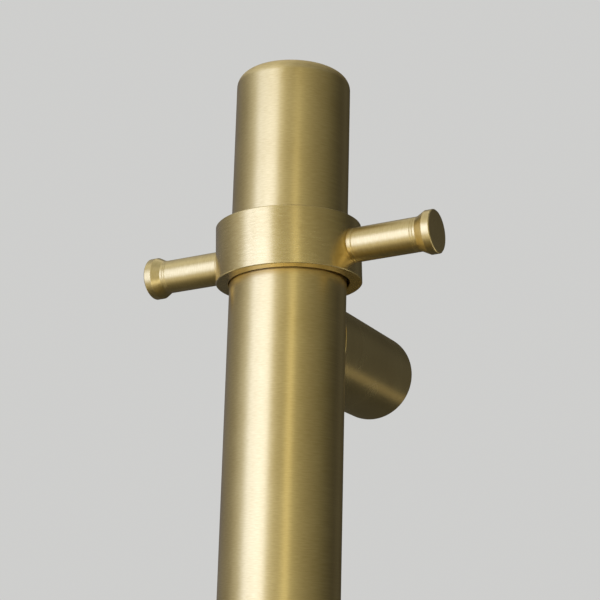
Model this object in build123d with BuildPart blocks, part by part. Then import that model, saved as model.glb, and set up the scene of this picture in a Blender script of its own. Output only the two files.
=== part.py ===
# Vertical single-bar towel warmer with a sliding hook ring, fixed to a wall by two posts.
# The wall is the plane Y = 0 and the room is on the -Y side. +Z is up.
# The origin lies on the wall, midway between the two wall posts. All lengths are in millimetres.
import os
from math import cos, radians, sin, tan

from build123d import *

# Heated bar
rail_height = 900.0
tube_diameter = 40.0
tube_wall = 1.5
wall_distance = 77.5

# End caps
cap_edge_radius = 4.5
cap_lip = 7.0
cap_plug_length = 14.0
cap_plug_wall = 3.0
cap_floor = 5.0
cap_gap = 0.2
cap_seal_thickness = 2.0
seal_gap = 0.05

# Wall posts
post_diameter = 33.0
post_inset = 92.5
post_wall = 2.5
post_web = 5.0
saddle_gap = 0.9
saddle_setback = 3.1
rim_break = 0.4

# Hollow spigots that hold the posts to the bar
nut_thickness = 6.0
nut_wall = 3.0
nut_room = 1.3
spigot_wall = 3.5
spigot_reach = 3.0
spigot_tail = 1.0
washer_room = 1.0
slip_gap = 0.1

# Wall bosses inside the posts
boss_thickness = 12.0
boss_gap = 0.15
boss_screw_hole = 4.4
screw_land = 0.8
cable_hole = 9.0
cable_bore = 7.0
grommet_lip = 0.6
grommet_lip_thickness = 1.5
set_screw_diameter = 4.0
set_screw_socket = 2.0
set_screw_recess = 0.4
set_screw_dimple = 1.5

# Hook ring and the two grip rings in its bore
ring_height = 20.0
ring_wall = 4.3
ring_clearance = 0.7
ring_edge = 0.2
ring_rest_gap = 0.25
ring_turn = 3.1
ring_lean = 2.4
grip_thickness = 2.0
grip_inset = 3.8
grip_gap = 0.3

# Hook pegs
peg_diameter = 11.7
peg_length = 29.8
peg_rim_diameter = 14.8
peg_rim_width = 2.8
peg_flare = 3.0
peg_edge = 0.3
peg_line_depth = 0.12
peg_line_width = 0.32
peg_line_pitch = 0.85
peg_root_line = 1.1
stud_diameter = 5.0
stud_depth = 12.0
stud_end_gap = 0.3

# Heating element and its spacers
element_diameter = 10.0
element_above_post = 56.5
element_below_cap = 25.0
element_seal_height = 8.0
spacer_count = 5
spacer_thickness = 6.0
spacer_inset = 6.0
spacer_hole = 6.0
spacer_hole_count = 6

# Thermal cut-out, terminal block and leads
cutout_diameter = 8.0
cutout_height = 18.0
cutout_room = 0.8
block_size = 14.0
block_height = 20.0
terminal_screw_diameter = 3.4
terminal_screw_height = 1.2
terminal_pitch = 4.4
lead_diameter = 1.6
lead_pin_offset = 2.2
lead_drop = 12.0
earth_tag_thickness = 0.8
earth_tag_width = 5.0
earth_tag_pitch = 5.0
earth_screw_diameter = 3.0
earth_screw_head = 5.6
earth_screw_head_height = 1.8

# Sizes that follow from the values above
rail_y = -wall_distance
rail_centre = (0, rail_y)
tube_radius = tube_diameter / 2
tube_bore_radius = tube_radius - tube_wall
half_height = rail_height / 2
post_z = half_height - post_inset
post_radius = post_diameter / 2
post_bore_radius = post_radius - post_wall
saddle_radius = tube_radius + saddle_gap
web_front_depth = wall_distance - saddle_radius - saddle_setback
web_back_depth = web_front_depth - post_web
nut_corner_radius = post_bore_radius - nut_room
nut_flat_radius = nut_corner_radius * cos(radians(30))
spigot_radius = nut_flat_radius - nut_wall
spigot_bore_radius = spigot_radius - spigot_wall
spigot_back_depth = web_back_depth - nut_thickness - spigot_tail
spigot_front_depth = wall_distance - tube_bore_radius + spigot_reach
boss_radius = post_bore_radius - boss_gap
cable_hole_radius = cable_hole / 2
boss_screw_x = (boss_radius + cable_hole_radius) / 2
boss_screw_head_radius = (boss_radius - cable_hole_radius) / 2 - screw_land
set_screw_depth = boss_thickness / 2
ring_bore_radius = tube_radius + ring_clearance
ring_radius = ring_bore_radius + ring_wall
ring_middle_z = post_z + (post_radius + ring_rest_gap + ring_height / 2) / cos(radians(ring_lean))
grip_offset = ring_height / 2 - grip_inset
grip_lean_room = grip_offset * sin(radians(ring_lean))
grip_centre_radius = tube_radius + grip_lean_room + grip_gap + grip_thickness / 2
peg_reach = ring_radius + peg_length
cap_plug_radius = tube_bore_radius - cap_gap
cap_cup_radius = cap_plug_radius - cap_plug_wall
element_radius = element_diameter / 2
element_base_z = element_above_post - post_z
element_top_z = half_height - cap_lip - cap_plug_length - element_below_cap
first_spacer_z = element_base_z + spacer_inset
last_spacer_z = element_top_z - spacer_inset - spacer_thickness
cutout_radius = cutout_diameter / 2
cutout_x = tube_bore_radius - cutout_room - cutout_radius
block_base_z = cap_floor - half_height
block_top_z = block_base_z + block_height


def wall_plane(depth):
    """Plane parallel to the wall, this far out into the room."""
    return Plane.XZ.offset(depth)


def level_plane(height):
    """Horizontal plane at this height."""
    return Plane.XY.offset(height)


def set_screw_plane(end, height):
    """Plane across a post's set screw, this far from the post's axis towards the bar's nearer end."""
    return Plane(origin=(0, -set_screw_depth, end * (post_z + height)), z_dir=(0, 0, end))


def save(piece, name):
    """Name a finished piece and write its file."""
    piece.label = name
    export_step(piece, f"parts/{name}.step")


os.makedirs("parts", exist_ok=True)

# Bar: a drawn tube with a round hole in its back at each post
with BuildPart() as rail_tube:
    with BuildSketch(level_plane(cap_lip - half_height)):
        with Locations(rail_centre):
            Circle(tube_radius)
            Circle(tube_bore_radius, mode=Mode.SUBTRACT)
    extrude(amount=rail_height - 2 * cap_lip)
    with BuildSketch(wall_plane(wall_distance - tube_radius)):
        with Locations((0, post_z), (0, -post_z)):
            Circle(spigot_radius + slip_gap)
    extrude(amount=tube_radius, mode=Mode.SUBTRACT)
save(rail_tube.part, "rail_tube")


def make_cap(name, end):
    """Turned end cap: a rounded lip flush with the tube and a hollow plug with a seal groove."""
    lip_z = half_height - cap_lip
    plug_z = lip_z - cap_plug_length
    groove_z = lip_z - cap_plug_length / 2
    groove_half = cap_seal_thickness / 2 + seal_gap
    groove_radius = tube_bore_radius - cap_seal_thickness - 2 * seal_gap
    side = Plane(origin=(0, rail_y, 0), x_dir=(1, 0, 0), z_dir=(0, -end, 0))
    with BuildPart() as cap:
        with BuildSketch(side):
            with BuildLine():
                Polyline(
                    (0, half_height - cap_floor),
                    (cap_cup_radius, half_height - cap_floor),
                    (cap_cup_radius, plug_z),
                    (cap_plug_radius, plug_z),
                    (cap_plug_radius, groove_z - groove_half),
                    (groove_radius, groove_z - groove_half),
                    (groove_radius, groove_z + groove_half),
                    (cap_plug_radius, groove_z + groove_half),
                    (cap_plug_radius, lip_z),
                    (tube_radius, lip_z),
                    (tube_radius, half_height - cap_edge_radius),
                )
                RadiusArc(
                    (tube_radius, half_height - cap_edge_radius),
                    (tube_radius - cap_edge_radius, half_height),
                    -cap_edge_radius,
                )
                Polyline(
                    (tube_radius - cap_edge_radius, half_height),
                    (0, half_height),
                    (0, half_height - cap_floor),
                )
            make_face()
        revolve(axis=Axis((0, rail_y, 0), (0, 0, 1)))
    save(cap.part, name)


def make_cap_seal(name, end):
    """Rubber ring in the groove of an end cap."""
    seal_z = end * (half_height - cap_lip - cap_plug_length / 2)
    with BuildPart() as seal:
        with Locations((0, rail_y, seal_z)):
            Torus(tube_bore_radius - seal_gap - cap_seal_thickness / 2, cap_seal_thickness / 2)
    save(seal.part, name)


for end_name, end in (("top", 1), ("bottom", -1)):
    make_cap(f"{end_name}_cap", end)
    make_cap_seal(f"{end_name}_cap_seal", end)


def make_post(name, end):
    """Hollow wall post: saddle-cut at the bar, with a web inside that the spigot nut pulls on."""
    z = end * post_z
    with BuildPart() as post:
        with BuildSketch(wall_plane(0)):
            with Locations((0, z)):
                Circle(post_radius)
                Circle(post_bore_radius, mode=Mode.SUBTRACT)
        extrude(amount=wall_distance)
        with BuildSketch(wall_plane(web_back_depth)):
            with Locations((0, z)):
                Circle(post_bore_radius)
                Circle(spigot_radius + slip_gap, mode=Mode.SUBTRACT)
        extrude(amount=post_web)
        with BuildSketch(level_plane(z - post_diameter)):
            with Locations(rail_centre):
                Circle(saddle_radius)
        extrude(amount=2 * post_diameter, mode=Mode.SUBTRACT)
        with BuildSketch(set_screw_plane(end, 0)):
            Circle(set_screw_diameter / 2 + slip_gap)
        extrude(amount=post_diameter, mode=Mode.SUBTRACT)
        chamfer(post.edges().filter_by(GeomType.BSPLINE).sort_by(SortBy.LENGTH)[-1], rim_break)
    save(post.part, name)


def make_spigot(name, z):
    """Hollow threaded spigot welded into the back of the bar; the wires pass through it."""
    with BuildPart() as spigot:
        with BuildSketch(wall_plane(spigot_back_depth)):
            with Locations((0, z)):
                Circle(spigot_radius)
                Circle(spigot_bore_radius, mode=Mode.SUBTRACT)
        extrude(amount=spigot_front_depth - spigot_back_depth)
    save(spigot.part, name)


def make_saddle_washer(name, z):
    """Hidden washer between the round back of the bar and the flat web of the post."""
    with BuildPart() as washer:
        with BuildSketch(wall_plane(web_front_depth)):
            with Locations((0, z)):
                Circle(post_bore_radius - washer_room)
                Circle(spigot_radius + slip_gap, mode=Mode.SUBTRACT)
        extrude(amount=wall_distance - web_front_depth)
        with BuildSketch(level_plane(z - post_diameter)):
            with Locations(rail_centre):
                Circle(tube_radius + seal_gap)
        extrude(amount=2 * post_diameter, mode=Mode.SUBTRACT)
    save(washer.part, name)


def make_spigot_nut(name, z):
    """Thin hexagon nut that clamps the post to the bar."""
    with BuildPart() as nut:
        with BuildSketch(wall_plane(web_back_depth - nut_thickness)):
            with Locations((0, z)):
                RegularPolygon(nut_corner_radius, 6)
                Circle(spigot_radius + slip_gap, mode=Mode.SUBTRACT)
        extrude(amount=nut_thickness)
    save(nut.part, name)


def make_wall_boss(name, end):
    """Disc screwed to the wall; the post slides over it and is locked by a set screw."""
    z = end * post_z
    with BuildPart() as boss:
        with BuildSketch(wall_plane(0)):
            with Locations((0, z)):
                Circle(boss_radius)
                Circle(cable_hole_radius, mode=Mode.SUBTRACT)
        extrude(amount=boss_thickness)
        with Locations(Plane(origin=(0, -boss_thickness, z), x_dir=(1, 0, 0), z_dir=(0, -1, 0))):
            with GridLocations(2 * boss_screw_x, 0, 2, 1):
                CounterSinkHole(boss_screw_hole / 2, boss_screw_head_radius, counter_sink_angle=90)
        with BuildSketch(set_screw_plane(end, boss_radius - set_screw_dimple)):
            Circle(set_screw_diameter / 2 + slip_gap)
        extrude(amount=boss_gap + set_screw_dimple, mode=Mode.SUBTRACT)
    save(boss.part, name)


for post_name, end in (("upper", 1), ("lower", -1)):
    make_post(f"{post_name}_post", end)
    make_spigot(f"{post_name}_spigot", end * post_z)
    make_saddle_washer(f"{post_name}_saddle_washer", end * post_z)
    make_spigot_nut(f"{post_name}_spigot_nut", end * post_z)
    make_wall_boss(f"{post_name}_wall_boss", end)

# Set screws: a socket grub screw in each post, on the side of the bar's nearer end, bites into the wall boss
with BuildPart() as set_screws:
    screw_head = post_radius - set_screw_recess
    screw_tip = boss_radius - set_screw_dimple + slip_gap
    for end in (1, -1):
        with BuildSketch(set_screw_plane(end, screw_tip)):
            Circle(set_screw_diameter / 2)
        extrude(amount=screw_head - screw_tip)
        with BuildSketch(set_screw_plane(end, (screw_head + screw_tip) / 2)):
            RegularPolygon(set_screw_socket / 2, 6, major_radius=False)
        extrude(amount=screw_head - screw_tip, mode=Mode.SUBTRACT)
save(set_screws.part, "post_set_screws")

# Grommet: rubber sleeve in the lower boss, where the supply cable comes out of the wall
with BuildPart() as cable_grommet:
    with BuildSketch(wall_plane(0)):
        with Locations((0, -post_z)):
            Circle(cable_hole_radius - seal_gap)
    extrude(amount=boss_thickness)
    with BuildSketch(wall_plane(boss_thickness)):
        with Locations((0, -post_z)):
            Circle(cable_hole_radius + grommet_lip)
    extrude(amount=grommet_lip_thickness)
    with BuildSketch(wall_plane(0)):
        with Locations((0, -post_z)):
            Circle(cable_bore / 2)
    extrude(amount=boss_thickness + grommet_lip_thickness, mode=Mode.SUBTRACT)
save(cable_grommet.part, "cable_grommet")

# Blanking plug: closes the cable hole of the upper boss, which is not used
with BuildPart() as blanking_plug:
    with BuildSketch(wall_plane(0)):
        with Locations((0, post_z)):
            Circle(cable_hole_radius - seal_gap)
    extrude(amount=boss_thickness)
    with BuildSketch(wall_plane(boss_thickness)):
        with Locations((0, post_z)):
            Circle(cable_hole_radius + grommet_lip)
    extrude(amount=grommet_lip_thickness)
save(blanking_plug.part, "blanking_plug")

# Middle plane of the hook ring: the ring hangs loose on the bar, so it leans up on the right-hand side
ring_plane = Plane(Pos(0, rail_y, ring_middle_z) * Rot(Y=-ring_lean) * Rot(Z=-ring_turn))

# Hook ring: a turned collar with broken edges, two grooves in its bore and two threaded holes
peg_sides = (("right", 1), ("left", -1))
with BuildPart() as hook_ring:
    with BuildSketch(ring_plane.offset(-ring_height / 2)):
        Circle(ring_radius)
        Circle(ring_bore_radius, mode=Mode.SUBTRACT)
    extrude(amount=ring_height)
    chamfer(hook_ring.edges().filter_by(GeomType.CIRCLE), ring_edge)
    for groove_offset in (grip_offset, -grip_offset):
        with BuildSketch(ring_plane.offset(groove_offset - grip_thickness / 2 - grip_gap)):
            Circle(grip_centre_radius + grip_thickness / 2 + grip_gap)
        extrude(amount=grip_thickness + 2 * grip_gap, mode=Mode.SUBTRACT)
    with BuildSketch(Plane(origin=ring_plane.origin, z_dir=ring_plane.x_dir)):
        Circle(stud_diameter / 2 + slip_gap)
    extrude(amount=ring_radius, both=True, mode=Mode.SUBTRACT)
save(hook_ring.part, "hook_ring")

# Grip rings: two rubber rings that hold the hook ring on the bar by friction
for grip_name, grip_end in (("upper", 1), ("lower", -1)):
    with BuildPart() as grip_ring:
        with Locations(ring_plane.offset(grip_end * grip_offset)):
            Torus(grip_centre_radius, grip_thickness / 2)
    save(grip_ring.part, f"{grip_name}_grip_ring")


def peg_plane(side):
    """Plane through the peg's and the ring's axes, with its x axis pointing out along the peg."""
    along = ring_plane.x_dir * side
    return Plane(origin=ring_plane.origin, x_dir=along, z_dir=along.cross(ring_plane.z_dir))


def make_peg(name, side):
    """Turned peg: shank with fine scored lines, short cone and flat-ended rim, cut to sit on the ring."""
    plane = peg_plane(side)
    shank = peg_diameter / 2
    rim = peg_rim_diameter / 2
    rim_start = peg_reach - peg_rim_width
    flare_start = rim_start - peg_flare
    scored_at = (ring_radius + peg_root_line, flare_start - 2 * peg_line_pitch, flare_start - peg_line_pitch)
    scored_lines = []
    for line_x in scored_at:
        scored_lines.append((line_x - peg_line_width / 2, shank))
        scored_lines.append((line_x, shank - peg_line_depth))
        scored_lines.append((line_x + peg_line_width / 2, shank))
    with BuildPart() as peg:
        with BuildSketch(plane):
            with BuildLine():
                Polyline(
                    (ring_bore_radius, 0),
                    (ring_bore_radius, shank),
                    *scored_lines,
                    (flare_start, shank),
                    (rim_start, rim),
                    (peg_reach - peg_edge, rim),
                    (peg_reach, rim - peg_edge),
                    (peg_reach, 0),
                    close=True,
                )
            make_face()
        revolve(axis=Axis(plane.origin, plane.x_dir))
        with BuildSketch(ring_plane.offset(-ring_height)):
            Circle(ring_radius + seal_gap)
        extrude(amount=2 * ring_height, mode=Mode.SUBTRACT)
        with BuildSketch(Plane(origin=plane.origin, z_dir=plane.x_dir)):
            Circle(stud_diameter / 2 + slip_gap)
        extrude(amount=ring_radius + stud_depth + stud_end_gap, mode=Mode.SUBTRACT)
    save(peg.part, name)


for side_name, side in peg_sides:
    make_peg(f"{side_name}_peg", side)

# Studs: headless screws that join the pegs to the ring
with BuildPart() as peg_studs:
    for side_name, side in peg_sides:
        stud_plane = Plane(origin=peg_plane(side).origin, z_dir=peg_plane(side).x_dir)
        with BuildSketch(stud_plane.offset(ring_bore_radius + stud_end_gap)):
            Circle(stud_diameter / 2)
        extrude(amount=ring_wall + stud_depth - stud_end_gap)
save(peg_studs.part, "peg_studs")

# Heating element: a steel-sheathed rod on the axis of the bar
with BuildPart() as element_rod:
    with BuildSketch(level_plane(element_base_z)):
        with Locations(rail_centre):
            Circle(element_radius)
    extrude(amount=element_top_z - element_base_z)
    fillet(element_rod.faces().sort_by(Axis.Z)[-1].edges(), element_radius / 2)
save(element_rod.part, "element_rod")

# Potted end of the element, where its two leads come out
with BuildPart() as element_seal:
    with BuildSketch(level_plane(element_base_z - element_seal_height)):
        with Locations(rail_centre):
            Circle(element_radius)
    extrude(amount=element_seal_height)
save(element_seal.part, "element_seal")

# Spacers: aluminium discs that centre the element and carry its heat to the tube
spacer_pitch = (last_spacer_z - first_spacer_z) / (spacer_count - 1)
hole_circle = (element_radius + tube_bore_radius) / 2
earth_x = -cutout_x
earth_screw_y = rail_y + earth_tag_pitch / 2
earth_lead_y = rail_y - earth_tag_pitch / 2
with BuildPart() as element_spacers:
    for index in range(spacer_count):
        with BuildSketch(level_plane(first_spacer_z + index * spacer_pitch)):
            with Locations(rail_centre):
                Circle(tube_bore_radius - cap_gap)
                Circle(element_radius + slip_gap, mode=Mode.SUBTRACT)
                with PolarLocations(hole_circle, spacer_hole_count, start_angle=180 / spacer_hole_count):
                    Circle(spacer_hole / 2, mode=Mode.SUBTRACT)
        extrude(amount=spacer_thickness)
    with BuildSketch(level_plane(first_spacer_z)):
        with Locations((earth_x, earth_screw_y)):
            Circle(earth_screw_diameter / 2 + slip_gap)
    extrude(amount=spacer_thickness, mode=Mode.SUBTRACT)
save(element_spacers.part, "element_spacers")

# Thermal cut-out: a small can held against the underside of the lowest spacer
cutout_base_z = first_spacer_z - cutout_height
with BuildPart() as thermal_cutout:
    with BuildSketch(level_plane(cutout_base_z)):
        with Locations((cutout_x, rail_y)):
            Circle(cutout_radius)
    extrude(amount=cutout_height)
    fillet(thermal_cutout.faces().sort_by(Axis.Z)[0].edges(), cutout_radius / 8)
save(thermal_cutout.part, "thermal_cutout")

# Terminal block: stands on the floor of the bottom cap, so the wires are reached by pulling the cap
with BuildPart() as terminal_block:
    with BuildSketch(level_plane(block_base_z)):
        with Locations(rail_centre):
            Rectangle(block_size, block_size)
    extrude(amount=block_height)
    fillet(terminal_block.edges().filter_by(Axis.Z), block_size / 14)
save(terminal_block.part, "terminal_block")

# Terminal screws: one clamp screw on the front face of the block for each wire
terminal_x = (-terminal_pitch, 0, terminal_pitch)
with BuildPart() as terminal_screws:
    with BuildSketch(wall_plane(wall_distance + block_size / 2)):
        for x in terminal_x:
            with Locations((x, (block_base_z + block_top_z) / 2)):
                Circle(terminal_screw_diameter / 2)
    extrude(amount=terminal_screw_height)
save(terminal_screws.part, "terminal_screws")

# Earth tag and its screw, on the underside of the lowest spacer
tag_base_z = first_spacer_z - earth_tag_thickness
with BuildPart() as earth_tag:
    with BuildSketch(level_plane(tag_base_z)):
        with Locations((earth_x, rail_y)):
            SlotCenterToCenter(earth_tag_pitch, earth_tag_width, rotation=90)
        with Locations((earth_x, earth_screw_y)):
            Circle(earth_screw_diameter / 2 + slip_gap, mode=Mode.SUBTRACT)
    extrude(amount=earth_tag_thickness)
save(earth_tag.part, "earth_tag")

with BuildPart() as earth_screw:
    with BuildSketch(level_plane(tag_base_z - earth_screw_head_height)):
        with Locations((earth_x, earth_screw_y)):
            Circle(earth_screw_head / 2)
    extrude(amount=earth_screw_head_height)
    with BuildSketch(level_plane(tag_base_z)):
        with Locations((earth_x, earth_screw_y)):
            Circle(earth_screw_diameter / 2)
    extrude(amount=earth_tag_thickness + spacer_thickness)
save(earth_screw.part, "earth_screw")


def bend_radii(points):
    """Largest even bend for each corner of a route: 0.45 of its shorter run over tan(half turn)."""
    radii = []
    for before, corner, after in zip(points, points[1:], points[2:]):
        run_in = Vector(*corner) - Vector(*before)
        run_out = Vector(*after) - Vector(*corner)
        half_turn = radians(run_in.get_angle(run_out) / 2)
        radii.append(0.45 * min(run_in.length, run_out.length) / tan(half_turn))
    return radii


def make_lead(name, points):
    """Insulated lead inside the bar, along straight runs joined by wide bends."""
    radii = bend_radii(points)
    start = Vector(*points[0])
    with BuildPart() as lead:
        with BuildLine() as route:
            FilletPolyline(*points, radius=radii)
        with BuildSketch(Plane(origin=start, z_dir=Vector(*points[1]) - start)):
            Circle(lead_diameter / 2)
        sweep()
    print(name, "length", round(route.wire().length, 1), "bends", [round(r, 1) for r in radii])
    save(lead.part, name)


# Leads: straight up out of the block, across the bar, and straight into their far ends
pin_z = element_base_z - element_seal_height
lead_ends = {
    "live_lead": ((terminal_x[2], rail_y), (cutout_x, rail_y + lead_pin_offset), cutout_base_z),
    "neutral_lead": ((terminal_x[1], rail_y), (0, rail_y + lead_pin_offset), pin_z),
    "earth_lead": ((terminal_x[0], rail_y), (earth_x, earth_lead_y), tag_base_z),
}
for lead_name, (foot, head, head_z) in lead_ends.items():
    quarter = (head_z - block_top_z) / 4
    make_lead(
        lead_name,
        [
            (*foot, block_top_z),
            (*foot, block_top_z + quarter),
            (*head, head_z - quarter),
            (*head, head_z),
        ],
    )

# Jumper: from the cut-out down, round and up into the element
loop_z = min(cutout_base_z, pin_z) - lead_drop
make_lead(
    "cutout_jumper",
    [
        (cutout_x, rail_y - lead_pin_offset, cutout_base_z),
        (cutout_x, rail_y - lead_pin_offset, loop_z),
        (0, rail_y - lead_pin_offset, loop_z),
        (0, rail_y - lead_pin_offset, pin_z),
    ],
)
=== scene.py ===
"""Vertical single-bar towel warmer: its brass, steel, rubber and wiring, and the studio it is shown in."""
import math

import bmesh
import bpy
from mathutils import Matrix, Vector


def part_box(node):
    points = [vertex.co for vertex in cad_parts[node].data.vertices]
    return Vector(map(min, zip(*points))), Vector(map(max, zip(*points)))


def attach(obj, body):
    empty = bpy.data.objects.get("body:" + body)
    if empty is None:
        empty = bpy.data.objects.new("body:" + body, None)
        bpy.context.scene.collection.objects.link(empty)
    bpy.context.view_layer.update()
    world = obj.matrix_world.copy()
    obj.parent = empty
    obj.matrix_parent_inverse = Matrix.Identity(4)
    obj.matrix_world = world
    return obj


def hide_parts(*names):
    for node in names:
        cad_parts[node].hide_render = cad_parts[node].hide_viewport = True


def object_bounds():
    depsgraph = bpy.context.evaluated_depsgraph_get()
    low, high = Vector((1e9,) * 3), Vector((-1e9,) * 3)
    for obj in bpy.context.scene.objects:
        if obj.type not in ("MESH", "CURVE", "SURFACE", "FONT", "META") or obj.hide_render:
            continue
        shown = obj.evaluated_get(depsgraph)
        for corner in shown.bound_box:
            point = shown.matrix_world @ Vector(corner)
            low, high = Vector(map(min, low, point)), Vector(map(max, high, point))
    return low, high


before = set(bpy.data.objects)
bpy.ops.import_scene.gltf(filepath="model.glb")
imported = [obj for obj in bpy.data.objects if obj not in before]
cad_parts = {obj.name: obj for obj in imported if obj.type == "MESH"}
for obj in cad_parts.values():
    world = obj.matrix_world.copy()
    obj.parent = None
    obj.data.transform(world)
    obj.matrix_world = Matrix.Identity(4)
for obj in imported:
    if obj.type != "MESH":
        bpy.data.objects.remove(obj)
cad_low, cad_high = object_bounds()

# Wall bosses: two discs turned from aluminium bar and screwed flat to the wall.
# The posts slide over them, so only their backs show, with the rings that the lathe tool left.
aluminium_light = (0.78, 0.79, 0.80, 1.0)
aluminium_dark = (0.60, 0.61, 0.63, 1.0)
aluminium_roughness = 0.28
aluminium_line_dulling = 0.18
tool_pitch = 0.00035
tool_run = 0.020
tool_depth = 0.000012


class Wire:
    """One socket of a material's nodes. Sums on values become Math nodes, and node() adds any other kind."""

    def __init__(self, tree, socket=None):
        self.tree = tree
        self.socket = socket

    def node(self, kind, settings, inputs, out=0):
        """Add a node: its settings first, then its sockets' values or wires. Return one output's wire."""
        made = self.tree.nodes.new("ShaderNode" + kind)
        for key, value in settings.items():
            if key == "stops":
                for extra in value[2:]:
                    made.color_ramp.elements.new(extra[0])
                for stop, (place, colour) in zip(made.color_ramp.elements, value):
                    stop.position = place
                    stop.color = colour
            else:
                setattr(made, key, value)
        for key, value in inputs.items():
            if isinstance(value, Wire):
                self.tree.links.new(value.socket, made.inputs[key])
            else:
                made.inputs[key].default_value = value
        return Wire(self.tree, made.outputs[out])

    def maths(self, operation, *terms):
        return self.node("Math", {"operation": operation}, dict(enumerate(terms)))

    def __add__(self, other):
        return self.maths("ADD", self, other)

    def __radd__(self, other):
        return self.maths("ADD", other, self)

    def __sub__(self, other):
        return self.maths("SUBTRACT", self, other)

    def __rsub__(self, other):
        return self.maths("SUBTRACT", other, self)

    def __mul__(self, other):
        return self.maths("MULTIPLY", self, other)

    def __rmul__(self, other):
        return self.maths("MULTIPLY", other, self)

    def __truediv__(self, other):
        return self.maths("DIVIDE", self, other)

    def __rtruediv__(self, other):
        return self.maths("DIVIDE", other, self)

    def __abs__(self):
        return self.maths("ABSOLUTE", self)

    def root(self):
        return self.maths("SQRT", self)

    def between(self, low, high):
        """How far this value has come from low to high, held to 0 and 1."""
        return self.node("MapRange", {"clamp": True}, {"Value": self, "From Min": low, "From Max": high})

    def blend(self, colour, other_colour):
        """Colour mixed by this value: the first at 0, the other at 1."""
        return self.node("Mix", {"data_type": "RGBA"}, {0: self, 6: colour, 7: other_colour}, 2)

    def offset(self, centre):
        return self.node("VectorMath", {"operation": "SUBTRACT"}, {0: self, 1: centre})

    def dot(self, other):
        return self.node("VectorMath", {"operation": "DOT_PRODUCT"}, {0: self, 1: other}, "Value")

    def noise(self, grain, detail=2.0):
        """Cloudy noise whose grains are about this many metres across."""
        return self.node("TexNoise", {}, {"Vector": self, "Scale": 1 / grain, "Detail": detail})

    def relief(self, depth):
        """Surface normal for a height of this many metres where the value is 1."""
        return self.node("Bump", {}, {"Height": self, "Strength": 1.0, "Distance": depth})

    def into(self, shader, socket):
        self.tree.links.new(self.socket, shader.inputs[socket])


def start_material(name, fixed):
    """New material: its shader with these fixed values, and a wire from the piece's own coordinates."""
    material = bpy.data.materials.new(name)
    material.use_nodes = True
    shader = material.node_tree.nodes["Principled BSDF"]
    for socket, value in fixed.items():
        shader.inputs[socket].default_value = value
    place = Wire(material.node_tree).node("TexCoord", {}, {}, "Object")
    return material, shader, place


def turned_lines(place, centre, axis, across, pitch, run):
    """Fine lines round an axis, one pitch apart, each running some way round the piece before it fades."""
    arm = place.offset(centre)
    along = arm.dot(axis)
    radius = (arm.dot(arm) - along * along).root()
    spot = place.node("CombineXYZ", {}, {0: radius / pitch, 1: along / pitch, 2: arm.dot(across) / run})
    return spot.noise(1.0, detail=3.0)


def dress(material, *nodes):
    for node in nodes:
        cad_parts[node].material_slots[0].material = material


def middle(node):
    low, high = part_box(node)
    return (low + high) / 2


def turned_aluminium(name, centre, axis, across):
    material, shader, place = start_material(name, {"Metallic": 1.0})
    lines = turned_lines(place, centre, axis, across, tool_pitch, tool_run)
    lines.blend(aluminium_dark, aluminium_light).into(shader, "Base Color")
    (aluminium_roughness + aluminium_line_dulling * lines).into(shader, "Roughness")
    lines.relief(tool_depth).into(shader, "Normal")
    return material


out_of_wall = Vector((0, -1, 0))
sideways = Vector((1, 0, 0))
upright = Vector((0, 0, 1))
for post in ("upper", "lower"):
    boss = f"{post}_wall_boss"
    dress(turned_aluminium(f"{post}_boss_aluminium", middle(boss), out_of_wall, sideways), boss)

# Cable grommet and blanking plug: moulded black rubber pressed into the bosses' middle holes.
# The same dull rubber makes the cap seals, the ring's grip rings and the element's potted end.
rubber_black = (0.018, 0.018, 0.019, 1.0)
rubber_bloom = (0.050, 0.049, 0.047, 1.0)
rubber_gloss = 0.35
rubber_roughness = 0.55
rubber_bloom_dulling = 0.25
bloom_patch = 0.004
bloom_starts = 0.45
bloom_full = 0.75
rubber_grain = 0.0003
rubber_grain_depth = 0.00002

rubber_fixed = {"Specular IOR Level": rubber_gloss}
rubber, rubber_shader, rubber_place = start_material("seal_rubber_moulded", rubber_fixed)
bloom = rubber_place.noise(bloom_patch, detail=4.0).between(bloom_starts, bloom_full)
bloom.blend(rubber_black, rubber_bloom).into(rubber_shader, "Base Color")
(rubber_roughness + rubber_bloom_dulling * bloom).into(rubber_shader, "Roughness")
rubber_place.noise(rubber_grain).relief(rubber_grain_depth).into(rubber_shader, "Normal")
dress(rubber, "cable_grommet", "blanking_plug", "top_cap_seal", "bottom_cap_seal")
dress(rubber, "upper_grip_ring", "lower_grip_ring", "element_seal")

# Wall posts: thick brass tube turned outside, saddle-cut at the bar and pushed over the bosses.
# Their satin is the same lacquered brass as the bar's, brushed round the post.
brass_gold = (0.85, 0.69, 0.34, 1.0)
brass_olive = (0.73, 0.57, 0.26, 1.0)
brass_cloud = 0.018
cloud_share = 0.4
olive_below = 0.35
gold_above = 0.65
cloud_dulling = 0.06
line_dulling = 0.04
brush_pitch = 0.0004
brush_run = 0.002
brush_depth = 0.000009
quarter_turn = 0.25
brass_edge = 0.0003
edge_samples = 6
end_tilt_starts = 0.03
end_tilt_full = 0.4
post_roughness = 0.26


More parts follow.
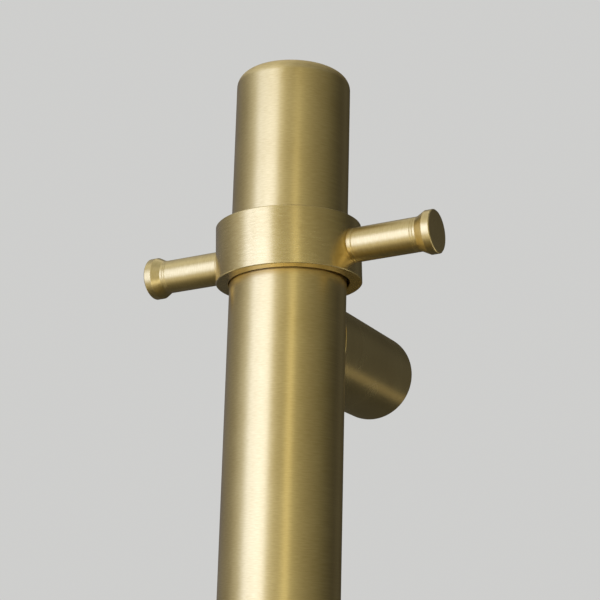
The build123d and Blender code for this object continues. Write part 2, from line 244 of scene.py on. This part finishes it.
def satin_brass(name, centre, axis, across, roughness, drawn_out=0.0, edge=0.0, end_dulling=0.0):
    """Lacquered brass brushed round an axis.

    drawn_out stretches its reflections along an upright axis, edge is the radius that its corners are worn
    to, and end_dulling is how much duller it is where it turns to face along the axis.
    """
    fixed = {"Metallic": 1.0, "Anisotropic": drawn_out, "Anisotropic Rotation": quarter_turn}
    material, shader, place = start_material(name, fixed)
    lines = turned_lines(place, centre, axis, across, brush_pitch, brush_run)
    cloud = place.noise(brass_cloud, detail=4.0)
    goldness = (cloud_share * cloud + (1 - cloud_share) * lines).between(olive_below, gold_above)
    goldness.blend(brass_olive, brass_gold).into(shader, "Base Color")
    evenly = roughness - (cloud_dulling + line_dulling) / 2
    dullness = evenly + cloud_dulling * cloud + line_dulling * lines
    if end_dulling:
        tilt = abs(place.node("NewGeometry", {}, {}, "Normal").dot(axis))
        dullness = dullness + end_dulling * tilt.between(end_tilt_starts, end_tilt_full)
    dullness.into(shader, "Roughness")
    relief = {"Height": lines, "Strength": 1.0, "Distance": brush_depth}
    if edge:
        relief["Normal"] = place.node("Bevel", {"samples": edge_samples}, {"Radius": edge})
    place.node("Bump", {}, relief).into(shader, "Normal")
    return material


for post in ("upper", "lower"):
    post_middle = middle(f"{post}_wall_boss")
    post_brass = satin_brass(
        f"{post}_post_brass", post_middle, out_of_wall, sideways, post_roughness, edge=brass_edge
    )
    dress(post_brass, f"{post}_post")

# Spigots, their nuts, the set screws and the other small screws: bright zinc-plated steel.
# The spigots are welded into the bar's back, and the nuts pull the posts up to it.
zinc_light = (0.66, 0.67, 0.69, 1.0)
zinc_dark = (0.45, 0.47, 0.50, 1.0)
zinc_roughness = 0.25
zinc_patch_dulling = 0.2
zinc_patch = 0.003
zinc_dark_below = 0.3
zinc_light_above = 0.7
zinc_grain = 0.0004
zinc_grain_depth = 0.000015

zinc, zinc_shader, zinc_place = start_material("zinc_plated_steel", {"Metallic": 1.0})
zinc_cloud = zinc_place.noise(zinc_patch, detail=4.0)
spangle = zinc_cloud.between(zinc_dark_below, zinc_light_above)
spangle.blend(zinc_dark, zinc_light).into(zinc_shader, "Base Color")
(zinc_roughness + zinc_patch_dulling * zinc_cloud).into(zinc_shader, "Roughness")
zinc_place.noise(zinc_grain).relief(zinc_grain_depth).into(zinc_shader, "Normal")
dress(zinc, "upper_spigot", "lower_spigot", "upper_spigot_nut", "lower_spigot_nut")
dress(zinc, "post_set_screws", "peg_studs", "terminal_screws", "earth_screw")

# Saddle washers and element spacers: discs turned from aluminium bar, like the bosses.
# A washer fits between the round bar and the flat web of each post, and the spacers centre the element.
for post in ("upper", "lower"):
    washer = f"{post}_saddle_washer"
    dress(turned_aluminium(f"{post}_washer_aluminium", middle(washer), out_of_wall, sideways), washer)
bar_axis = middle("rail_tube")
dress(turned_aluminium("spacer_aluminium", bar_axis, upright, sideways), "element_spacers")

# Bar: a drawn brass tube, ground round and round with a fine belt to a satin, and lacquered.
# Two round holes in its back take the spigots.
bar_low, bar_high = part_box("rail_tube")
bar_radius = (bar_high.x - bar_low.x) / 2
bar_wall = 0.0015
bar_sides = 256
bar_roughness = 0.30
bar_drawn_out = 0.1
spigot_slip = 0.0001
hole_margin = 0.004
hole_sides = 96
crease_angle = math.radians(30)


def ring_of_points(mesh, radius, height, sides, centre):
    turn = 2 * math.pi / sides
    spots = [Vector((math.sin(i * turn), -math.cos(i * turn), 0)) for i in range(sides)]
    return [mesh.verts.new((centre.x + radius * s.x, centre.y + radius * s.y, height)) for s in spots]


def bridge(mesh, ring, next_ring):
    for i, corner in enumerate(ring):
        j = (i + 1) % len(ring)
        mesh.faces.new((corner, ring[j], next_ring[j], next_ring[i]))


def new_piece(name, mesh):
    data = bpy.data.meshes.new(name)
    mesh.to_mesh(data)
    mesh.free()
    piece = bpy.data.objects.new(name, data)
    bpy.context.scene.collection.objects.link(piece)
    return piece


def make_bar_tube():
    """Tube wall as rings of points, with rings close to the spigot holes so that the cuts stay local."""
    spigot_low, spigot_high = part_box("upper_spigot")
    hole_reach = (spigot_high.x - spigot_low.x) / 2 + hole_margin
    levels = [bar_low.z, bar_high.z]
    for post in ("upper", "lower"):
        post_height = middle(f"{post}_spigot").z
        levels += [post_height - hole_reach, post_height + hole_reach]
    levels.sort()
    mesh = bmesh.new()
    outside = [ring_of_points(mesh, bar_radius, z, bar_sides, bar_axis) for z in levels]
    inside = [ring_of_points(mesh, bar_radius - bar_wall, z, bar_sides, bar_axis) for z in levels]
    loop = outside + inside[::-1]
    for ring, next_ring in zip(loop, loop[1:] + loop[:1]):
        bridge(mesh, ring, next_ring)
    return new_piece("bar_tube", mesh)


def spigot_cutter(post):
    low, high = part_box(f"{post}_spigot")
    mesh = bmesh.new()
    radius = (high.x - low.x) / 2 + spigot_slip
    lie_back = Matrix.Rotation(math.radians(90), 4, "X")
    bmesh.ops.create_cone(
        mesh, cap_ends=True, segments=hole_sides, radius1=radius, radius2=radius, depth=high.y - low.y,
        matrix=Matrix.Translation((low + high) / 2) @ lie_back,
    )
    return new_piece(f"{post}_spigot_cutter", mesh)


bar_tube = make_bar_tube()
for post in ("upper", "lower"):
    cutter = spigot_cutter(post)
    cut = bar_tube.modifiers.new("spigot_hole", "BOOLEAN")
    cut.object = cutter
    cut.operation = "DIFFERENCE"
    bored = bpy.data.meshes.new_from_object(bar_tube.evaluated_get(bpy.context.evaluated_depsgraph_get()))
    bar_tube.modifiers.clear()
    bar_tube.data = bored
    bpy.data.objects.remove(cutter)
bar_tube.data.shade_smooth()
bar_tube.data.set_sharp_from_angle(angle=crease_angle)
bar_brass = satin_brass("bar_brass", bar_axis, upright, sideways, bar_roughness, bar_drawn_out)
bar_tube.data.materials.append(bar_brass)
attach(bar_tube, "rail")
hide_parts("rail_tube")

# End caps: turned brass plugs with a rounded edge, pushed into the bar flush with its surface.
# They are ground together with the bar, so the satin runs across the joint.
# Over the rounding the satin is a little duller.
cap_end_dulling = 0.2
cap_brass = satin_brass(
    "cap_brass", bar_axis, upright, sideways, bar_roughness, bar_drawn_out, end_dulling=cap_end_dulling
)
dress(cap_brass, "top_cap", "bottom_cap")

# Heating element: a rod in a stainless steel sheath down the middle of the bar.
# Heat has tinted it straw and brown between its ends, and the small can is its thermal cut-out.
sheath_grey = (0.52, 0.52, 0.53, 1.0)
sheath_straw = (0.50, 0.40, 0.25, 1.0)
sheath_brown = (0.30, 0.21, 0.15, 1.0)
heat_tints = [
    (0.0, sheath_grey),
    (0.12, sheath_straw),
    (0.5, sheath_brown),
    (0.9, sheath_straw),
    (1.0, sheath_grey),
]
tint_wander = 0.05
noise_middle = 0.5
tint_patch = 0.03
sheath_roughness = 0.3
sheath_line_dulling = 0.15
sheath_line_pitch = 0.0003
sheath_line_run = 0.004
sheath_line_depth = 0.00001
element_low, element_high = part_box("element_rod")

sheath, sheath_shader, sheath_place = start_material("stainless_sheath", {"Metallic": 1.0})
height_up = sheath_place.dot(upright).between(element_low.z, element_high.z)
wandering = height_up + tint_wander * (sheath_place.noise(tint_patch, detail=3.0) - noise_middle)
wandering.node("ValToRGB", {"stops": heat_tints}, {0: wandering}).into(sheath_shader, "Base Color")
sheath_lines = turned_lines(sheath_place, bar_axis, upright, sideways, sheath_line_pitch, sheath_line_run)
(sheath_roughness + sheath_line_dulling * sheath_lines).into(sheath_shader, "Roughness")
sheath_lines.relief(sheath_line_depth).into(sheath_shader, "Normal")
dress(sheath, "element_rod")
dress(zinc, "thermal_cutout")

# Terminal block: moulded ivory plastic with a clamp screw for each wire.
# It stands on the floor of the bottom cap, so pulling the cap brings it out.
block_ivory = (0.74, 0.71, 0.62, 1.0)
block_shade = (0.66, 0.62, 0.52, 1.0)
plastic_index = 1.5
block_roughness = 0.4
block_patch_dulling = 0.15
block_patch = 0.006
shade_below = 0.35
ivory_above = 0.65
block_grain = 0.0004
block_grain_depth = 0.00002

ivory, ivory_shader, ivory_place = start_material("terminal_ivory", {"IOR": plastic_index})
ivory_cloud = ivory_place.noise(block_patch, detail=3.0)
ivory_cloud.between(shade_below, ivory_above).blend(block_shade, block_ivory).into(ivory_shader, "Base Color")
(block_roughness + block_patch_dulling * ivory_cloud).into(ivory_shader, "Roughness")
ivory_place.noise(block_grain).relief(block_grain_depth).into(ivory_shader, "Normal")
dress(ivory, "terminal_block")

# Leads: silicone-covered wires from the terminal block; live and its jumper brown, neutral blue.
# The earth lead is green with a yellow stripe, and ends on a pressed brass tag.
lead_colours = {
    "live_brown": ((0.16, 0.07, 0.03, 1.0), (0.22, 0.10, 0.05, 1.0), ("live_lead", "cutout_jumper")),
    "neutral_blue": ((0.03, 0.10, 0.36, 1.0), (0.06, 0.16, 0.46, 1.0), ("neutral_lead",)),
    "earth_green_yellow": ((0.05, 0.26, 0.05, 1.0), (0.70, 0.56, 0.04, 1.0), ("earth_lead",)),
}
lead_roughness = 0.42
lead_grain_dulling = 0.2
lead_grain = 0.001
lead_mottle = 0.002
stripe_pitch = 0.009
stripe_lean = 0.0016
stripe_starts = 0.45
stripe_full = 0.55
tag_gold = (0.76, 0.58, 0.28, 1.0)
tag_tarnish = (0.52, 0.38, 0.18, 1.0)
tag_roughness = 0.3
tarnish_dulling = 0.2
tarnish_patch = 0.002
tarnish_starts = 0.4
tarnish_full = 0.7

for lead_name, (colour, other_colour, leads) in lead_colours.items():
    silicone, silicone_shader, lead_place = start_material(lead_name, {})
    if lead_name == "earth_green_yellow":
        turns = lead_place.dot(upright) / stripe_pitch + lead_place.dot(sideways) / stripe_lean
        mask = turns.maths("PINGPONG", turns, 1.0).between(stripe_starts, stripe_full)
    else:
        mask = lead_place.noise(lead_mottle, detail=3.0)
    mask.blend(colour, other_colour).into(silicone_shader, "Base Color")
    (lead_roughness + lead_grain_dulling * lead_place.noise(lead_grain)).into(silicone_shader, "Roughness")
    dress(silicone, *leads)

tag, tag_shader, tag_place = start_material("earth_tag_brass", {"Metallic": 1.0})
tarnish = tag_place.noise(tarnish_patch, detail=4.0)
tarnish.between(tarnish_starts, tarnish_full).blend(tag_gold, tag_tarnish).into(tag_shader, "Base Color")
(tag_roughness + tarnish_dulling * tarnish).into(tag_shader, "Roughness")
dress(tag, "earth_tag")

# Hook ring: a turned brass collar that slides and turns on the bar, held by the rubber grip rings.
# Its edges are just broken, and its satin runs round it like the bar's, about its own leaning axis.
ring_roughness = 0.265
ring_middle = middle("hook_ring")
ring_axis = (middle("upper_grip_ring") - middle("lower_grip_ring")).normalized()
ring_brass = satin_brass(
    "ring_brass", ring_middle, ring_axis, sideways, ring_roughness, bar_drawn_out, edge=brass_edge
)
dress(ring_brass, "hook_ring")

# Pegs: turned brass hooks with a flared rim and a flat end, screwed to the ring on steel studs.
# Their satin is brushed round them on the lathe, and fine lines are scored at the root and below the rim.
peg_roughness = 0.30
peg_axis = (middle("right_peg") - middle("left_peg")).normalized()
for peg in ("right_peg", "left_peg"):
    dress(satin_brass(f"{peg}_brass", ring_middle, peg_axis, upright, peg_roughness, edge=brass_edge), peg)

# Studio floor: a plain pale paper sheet, level, and wide enough to run out of sight.
# It lies below the bar's lower end, because such a bar hangs on a wall.
floor_drop = 0.30
floor_half = 60.0
floor_pale = (0.86, 0.86, 0.85, 1.0)
paper_roughness = 0.9


def level_sheet(half_side, height):
    """Mesh of a level square, centred on the bar."""
    mesh = bmesh.new()
    for x, y in ((-1, -1), (1, -1), (1, 1), (-1, 1)):
        mesh.verts.new((bar_axis.x + x * half_side, bar_axis.y + y * half_side, height))
    mesh.faces.new(mesh.verts[:])
    return mesh


floor = new_piece("studio_floor", level_sheet(floor_half, cad_low.z - floor_drop))
paper = start_material("floor_paper", {"Base Color": floor_pale, "Roughness": paper_roughness})[0]
floor.data.materials.append(paper)

# Studio light: cool soft boxes in front on the left, two with hotter middles, a slim warm strip on the right
# and a small amber one behind, in a pale surround. Bearings are degrees to the right of straight out of the
# wall, and heights are metres from the hook ring.
surround_pale = (0.62, 0.62, 0.61, 1.0)
daylight = (0.40, 0.50, 1.0)
warm_white = (1.0, 0.93, 0.64)
amber = (1.0, 0.81, 0.43)
box_distance = 1.0
hot_distance = 0.95
# Each lamp: its distance, left and right bearings, lower and upper heights, brightness and tint
lamps = {
    "left_edge_box": (box_distance, -51.0, -43.0, -0.42, 0.65, 0.8, daylight),
    "left_soft_box": (box_distance, -43.0, -33.0, -0.45, 0.62, 0.9, daylight),
    "left_hot_middle": (hot_distance, -43.0, -33.0, -0.24, 0.42, 1.2, daylight),
    "front_soft_box": (box_distance, -31.0, -3.0, -0.45, 0.59, 0.85, daylight),
    "front_hot_middle": (hot_distance, -31.0, -3.0, -0.24, 0.42, 1.15, daylight),
    "right_strip": (box_distance, 30.0, 40.0, -0.36, 0.40, 0.75, warm_white),
    "low_back_strip": (box_distance, 156.0, 168.0, -0.40, -0.23, 0.18, amber),
}

surround = bpy.data.worlds.new("surround")
surround.use_nodes = True
surround.node_tree.nodes["Background"].inputs["Color"].default_value = surround_pale
bpy.context.scene.world = surround


def towards(bearing):
    """Level direction at a bearing from straight out of the wall."""
    turn = math.radians(bearing)
    return Vector((math.sin(turn), -math.cos(turn), 0))


for lamp_name, (distance, bearing, next_bearing, low, high, brightness, tint) in lamps.items():
    lamp_bearing = (bearing + next_bearing) / 2
    lamp = bpy.data.lights.new(lamp_name, "AREA")
    lamp.shape = "RECTANGLE"
    lamp.size = 2 * distance * math.tan(math.radians(next_bearing - bearing) / 2)
    lamp.size_y = high - low
    lamp.energy = brightness * math.pi * lamp.size * lamp.size_y
    lamp.color = tint
    lamp_stand = bpy.data.objects.new(lamp_name, lamp)
    lamp_spot = ring_middle + distance * towards(lamp_bearing) + (low + high) / 2 * upright
    face_in = Matrix.Rotation(math.radians(lamp_bearing), 4, "Z") @ Matrix.Rotation(math.radians(90), 4, "X")
    lamp_stand.matrix_world = Matrix.Translation(lamp_spot) @ face_in
    bpy.context.scene.collection.objects.link(lamp_stand)

# Studio cloth: three rings of shaded cloth round the bar, one above another, with a card over and under them.
# They are the tent that metal is photographed in, and show only in reflections. A ring is shaded by bearing,
# the low card by metres out of the wall, and the high card by metres to the left.
cloth_distance = 1.1
cloth_sides = 72
cloth_low = -1.05
low_join = -0.47
high_join = 0.75
cloth_high = 1.6
card_half = 1.5
low_cloth_shades = {
    -154.0: (0.055, 0.053, 0.045),
    -131.0: (0.090, 0.088, 0.085),
    -114.0: (0.16, 0.155, 0.14),
    -102.0: (0.95, 0.92, 0.82),
    -82.0: (0.95, 0.92, 0.82),
    -64.0: (0.44, 0.42, 0.34),
    -27.0: (0.60, 0.56, 0.46),
    -16.0: (0.62, 0.58, 0.45),
    -2.0: (1.40, 1.35, 1.18),
    20.0: (1.40, 1.35, 1.18),
    32.0: (0.55, 0.51, 0.37),
    50.0: (0.45, 0.42, 0.30),
    60.0: (0.90, 0.86, 0.73),
    84.0: (0.90, 0.86, 0.73),
    98.0: (0.25, 0.24, 0.19),
    112.0: (0.80, 0.77, 0.67),
    142.0: (0.80, 0.77, 0.67),
    154.0: (0.060, 0.058, 0.045),
    176.0: (0.048, 0.046, 0.038),
}
level_cloth_shades = {
    -154.0: (0.050, 0.047, 0.035),
    -131.0: (0.15, 0.15, 0.185),
    -98.0: (0.205, 0.20, 0.20),
    -81.0: (0.25, 0.24, 0.22),
    -53.0: (0.59, 0.60, 0.61),
    -3.0: (0.74, 0.72, 0.60),
    7.0: (0.56, 0.535, 0.39),
    15.0: (0.42, 0.395, 0.29),
    50.0: (0.35, 0.33, 0.23),
    72.0: (0.23, 0.215, 0.155),
    86.0: (0.19, 0.18, 0.13),
    114.0: (0.090, 0.087, 0.066),
    138.0: (0.046, 0.045, 0.043),
    160.0: (0.087, 0.084, 0.070),
    176.0: (0.042, 0.039, 0.028),
}
high_cloth_shades = {
    -160.0: (0.14, 0.14, 0.13),
    -140.0: (0.35, 0.35, 0.34),
    -124.0: (0.40, 0.40, 0.39),
    -110.0: (0.34, 0.34, 0.33),
    -90.0: (0.46, 0.46, 0.45),
    -78.0: (0.60, 0.61, 0.61),
    -66.0: (0.84, 0.86, 0.87),
    -50.0: (0.58, 0.58, 0.57),
    -30.0: (0.64, 0.65, 0.62),
    -8.0: (0.90, 0.90, 0.86),
    3.0: (0.62, 0.62, 0.58),
    15.0: (0.46, 0.46, 0.43),
    52.0: (0.36, 0.36, 0.34),
    88.0: (0.21, 0.21, 0.20),
    104.0: (0.18, 0.18, 0.17),
    129.0: (0.075, 0.074, 0.068),
}
low_card_shades = {
    -1.0: (0.045, 0.042, 0.030),
    0.0: (0.070, 0.060, 0.036),
    0.29: (0.11, 0.095, 0.050),
    0.62: (0.22, 0.185, 0.105),
    1.0: (0.42, 0.37, 0.25),
}
high_card_shades = {
    -1.1: (0.17, 0.17, 0.16),
    -0.6: (0.26, 0.26, 0.25),
    -0.35: (0.36, 0.36, 0.34),
    0.2: (0.47, 0.48, 0.45),
    0.31: (0.83, 0.83, 0.83),
    0.5: (0.83, 0.83, 0.83),
    0.73: (0.34, 0.335, 0.32),
    1.03: (0.70, 0.70, 0.70),
}


def hang_cloth(name, mesh, shades, measure):
    """Cloth that gives off its own light, shaded by a measure of its place, and shows only in reflections."""
    cloth = new_piece(name, mesh)
    cloth.visible_camera = False
    cloth.visible_shadow = False
    cloth.visible_diffuse = False
    fixed = {"Base Color": (0.0, 0.0, 0.0, 1.0), "Specular IOR Level": 0.0, "Emission Strength": 1.0}
    material, shader, place = start_material(f"{name}_shades", fixed)
    first = min(shades)
    last = max(shades)
    share = measure(place.offset(ring_middle)).between(first, last)
    stops = [((mark - first) / (last - first), (*shade, 1.0)) for mark, shade in shades.items()]
    share.node("ValToRGB", {"stops": stops}, {0: share}).into(shader, "Emission Color")
    cloth.data.materials.append(material)


def bearing_of(arm):
    return arm.maths("ARCTAN2", arm.dot(towards(90)), arm.dot(towards(0))) * math.degrees(1)


def out_of_wall_of(arm):
    return arm.dot(out_of_wall)


def left_of(arm):
    return arm.dot(-sideways)


def cloth_ring(low, high):
    """Mesh of an upright band of cloth all round the hook ring, between two heights from it."""
    mesh = bmesh.new()
    low_edge = ring_of_points(mesh, cloth_distance, ring_middle.z + low, cloth_sides, ring_middle)
    high_edge = ring_of_points(mesh, cloth_distance, ring_middle.z + high, cloth_sides, ring_middle)
    bridge(mesh, low_edge, high_edge)
    return mesh


hang_cloth("low_cloth", cloth_ring(cloth_low, low_join), low_cloth_shades, bearing_of)
hang_cloth("level_cloth", cloth_ring(low_join, high_join), level_cloth_shades, bearing_of)
hang_cloth("high_cloth", cloth_ring(high_join, cloth_high), high_cloth_shades, bearing_of)
hang_cloth("low_card", level_sheet(card_half, ring_middle.z + cloth_low), low_card_shades, out_of_wall_of)
hang_cloth("high_card", level_sheet(card_half, ring_middle.z + cloth_high), high_card_shades, left_of)

# Camera: in front of the bar, to its right and below its top, looking up at the hook ring.
# Places are in metres from the middle of the bar's top, and angles in degrees.
camera_right = 0.1975
camera_out = 0.4137
camera_below = 0.2029
look_left = 24.99
look_up = 14.89
lean = 1.54
picture_side = 600
focal_pixels = 1394.2
sensor = 36.0
nearest = 0.01

camera_data = bpy.data.cameras.new("photo_camera")
camera_data.sensor_width = sensor
camera_data.lens = focal_pixels / picture_side * sensor
camera_data.clip_start = nearest
camera = bpy.data.objects.new("photo_camera", camera_data)
bar_top = Vector((bar_axis.x, bar_axis.y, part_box("top_cap")[1].z))
aim = Matrix.Rotation(math.radians(look_left), 4, "Z") @ Matrix.Rotation(math.radians(90 + look_up), 4, "X")
stand = Matrix.Translation(bar_top + Vector((camera_right, -camera_out, -camera_below)))
camera.matrix_world = stand @ aim @ Matrix.Rotation(math.radians(lean), 4, "Z")
bpy.context.scene.collection.objects.link(camera)
bpy.context.scene.camera = camera
bpy.context.scene.view_settings.view_transform = "Standard"
